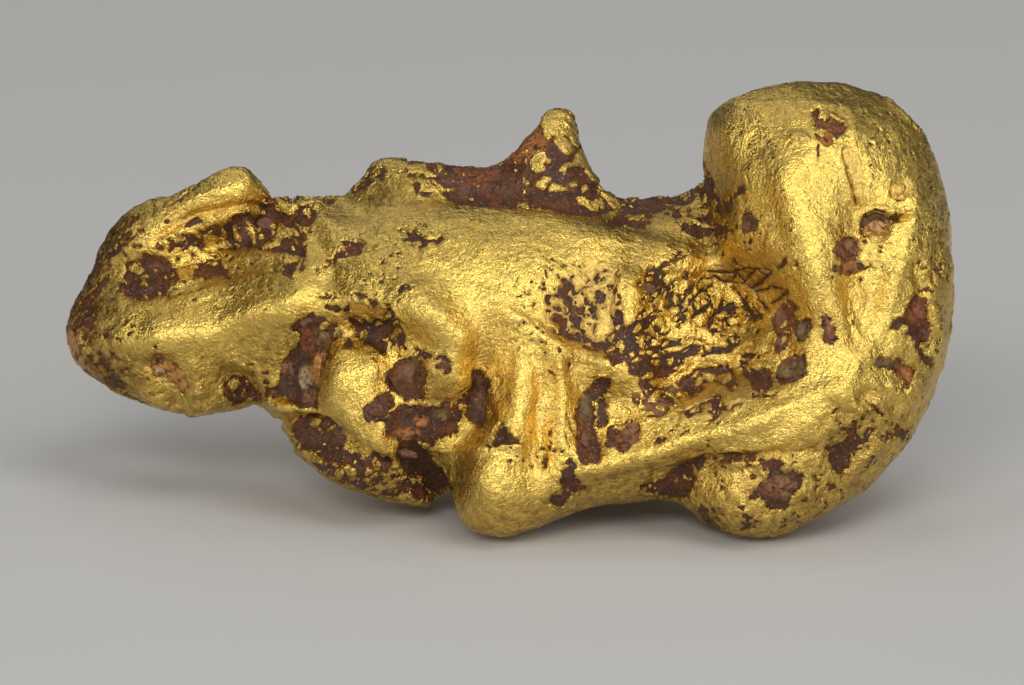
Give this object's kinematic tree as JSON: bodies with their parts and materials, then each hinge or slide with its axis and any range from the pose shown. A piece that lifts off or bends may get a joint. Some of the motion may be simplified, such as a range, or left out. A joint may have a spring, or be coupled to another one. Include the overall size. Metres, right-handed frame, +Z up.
{
  "type": "gold nugget",
  "caption": "Water-worn natural gold nugget with ironstone and quartz grown into it, standing free on its own worn feet.",
  "frame": {"origin": "on the ground, under the middle of the nugget's box", "axes": "+X along the nugget's length, towards the large rounded lobe; +Y away from the side that is seen; +Z up"},
  "size_m": [0.0601, 0.0249, 0.0291],
  "materials": {
    "gold": "water-worn native gold, satin, with brown ironstone and quartz in its hollows"
  },
  "bodies": {
    "root": {"nugget": "gold"}
  },
  "joints": []
}
